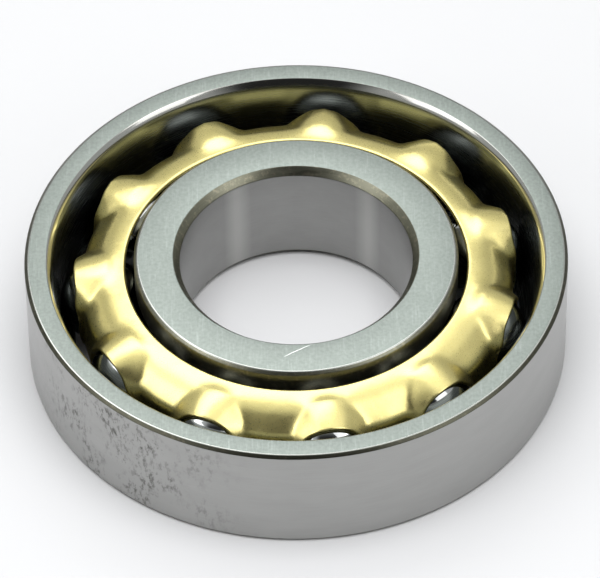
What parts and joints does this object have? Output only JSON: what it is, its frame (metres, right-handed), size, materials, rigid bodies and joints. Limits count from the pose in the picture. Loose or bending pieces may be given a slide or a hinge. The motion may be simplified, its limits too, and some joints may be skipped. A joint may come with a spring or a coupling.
{
  "type": "ball bearing",
  "caption": "Separable magneto-type ball bearing: outer ring with one shoulder, grooved inner ring, steel balls and a one-piece pressed brass cage.",
  "frame": {"origin": "on the bore axis at mid width, which is the centre of the whole part's box", "axes": "+Z along the bore axis towards the open, shoulderless side; X and Y across the rings, with the first ball on -X"},
  "size_m": [0.035, 0.035, 0.008],
  "materials": {
    "ring_steel": "ground satin bearing steel",
    "cage_brass": "polished pressed sheet",
    "ball_steel": "mirror-polished bearing steel"
  },
  "bodies": {
    "outer_ring": {"outer_ring": "ring_steel"},
    "inner_ring": {"inner_ring": "ring_steel"},
    "cage": {"cage": "cage_brass"},
    "ball_01": {"ball_01": "ball_steel"},
    "ball_02": {"ball_02": "ball_steel"},
    "ball_03": {"ball_03": "ball_steel"},
    "ball_04": {"ball_04": "ball_steel"},
    "ball_05": {"ball_05": "ball_steel"},
    "ball_06": {"ball_06": "ball_steel"},
    "ball_07": {"ball_07": "ball_steel"},
    "ball_08": {"ball_08": "ball_steel"},
    "ball_09": {"ball_09": "ball_steel"},
    "ball_10": {"ball_10": "ball_steel"},
    "ball_11": {"ball_11": "ball_steel"}
  },
  "joints": [
    {"name": "inner_ring_spin", "type": "hinge", "parent": "outer_ring", "child": "inner_ring", "pos_m": [0, 0, 0], "axis": [0, 0, 1], "continuous": true},
    {"name": "cage_spin", "type": "hinge", "parent": "outer_ring", "child": "cage", "pos_m": [0, 0, 0], "axis": [0, 0, 1], "continuous": true},
    {"name": "ball_01_roll", "type": "hinge", "parent": "cage", "child": "ball_01", "pos_m": [-0.01255, 0, 0], "axis": [0, 0, 1], "continuous": true},
    {"name": "ball_02_roll", "type": "hinge", "parent": "cage", "child": "ball_02", "pos_m": [-0.01056, -0.00679, 0], "axis": [0, 0, 1], "continuous": true},
    {"name": "ball_03_roll", "type": "hinge", "parent": "cage", "child": "ball_03", "pos_m": [-0.00521, -0.01142, 0], "axis": [0, 0, 1], "continuous": true},
    {"name": "ball_04_roll", "type": "hinge", "parent": "cage", "child": "ball_04", "pos_m": [0.00179, -0.01242, 0], "axis": [0, 0, 1], "continuous": true},
    {"name": "ball_05_roll", "type": "hinge", "parent": "cage", "child": "ball_05", "pos_m": [0.00822, -0.00948, 0], "axis": [0, 0, 1], "continuous": true},
    {"name": "ball_06_roll", "type": "hinge", "parent": "cage", "child": "ball_06", "pos_m": [0.01204, -0.00354, 0], "axis": [0, 0, 1], "continuous": true},
    {"name": "ball_07_roll", "type": "hinge", "parent": "cage", "child": "ball_07", "pos_m": [0.01204, 0.00354, 0], "axis": [0, 0, 1], "continuous": true},
    {"name": "ball_08_roll", "type": "hinge", "parent": "cage", "child": "ball_08", "pos_m": [0.00822, 0.00948, 0], "axis": [0, 0, 1], "continuous": true},
    {"name": "ball_09_roll", "type": "hinge", "parent": "cage", "child": "ball_09", "pos_m": [0.00179, 0.01242, 0], "axis": [0, 0, 1], "continuous": true},
    {"name": "ball_10_roll", "type": "hinge", "parent": "cage", "child": "ball_10", "pos_m": [-0.00521, 0.01142, 0], "axis": [0, 0, 1], "continuous": true},
    {"name": "ball_11_roll", "type": "hinge", "parent": "cage", "child": "ball_11", "pos_m": [-0.01056, 0.00679, 0], "axis": [0, 0, 1], "continuous": true}
  ],
  "couplings": [
    {"joint": "cage_spin", "follows": "inner_ring_spin", "ratio": 0.38932},
    {"joint": "ball_01_roll", "follows": "inner_ring_spin", "ratio": -2.1481},
    {"joint": "ball_02_roll", "follows": "inner_ring_spin", "ratio": -2.1481},
    {"joint": "ball_03_roll", "follows": "inner_ring_spin", "ratio": -2.1481},
    {"joint": "ball_04_roll", "follows": "inner_ring_spin", "ratio": -2.1481},
    {"joint": "ball_05_roll", "follows": "inner_ring_spin", "ratio": -2.1481},
    {"joint": "ball_06_roll", "follows": "inner_ring_spin", "ratio": -2.1481},
    {"joint": "ball_07_roll", "follows": "inner_ring_spin", "ratio": -2.1481},
    {"joint": "ball_08_roll", "follows": "inner_ring_spin", "ratio": -2.1481},
    {"joint": "ball_09_roll", "follows": "inner_ring_spin", "ratio": -2.1481},
    {"joint": "ball_10_roll", "follows": "inner_ring_spin", "ratio": -2.1481},
    {"joint": "ball_11_roll", "follows": "inner_ring_spin", "ratio": -2.1481}
  ]
}
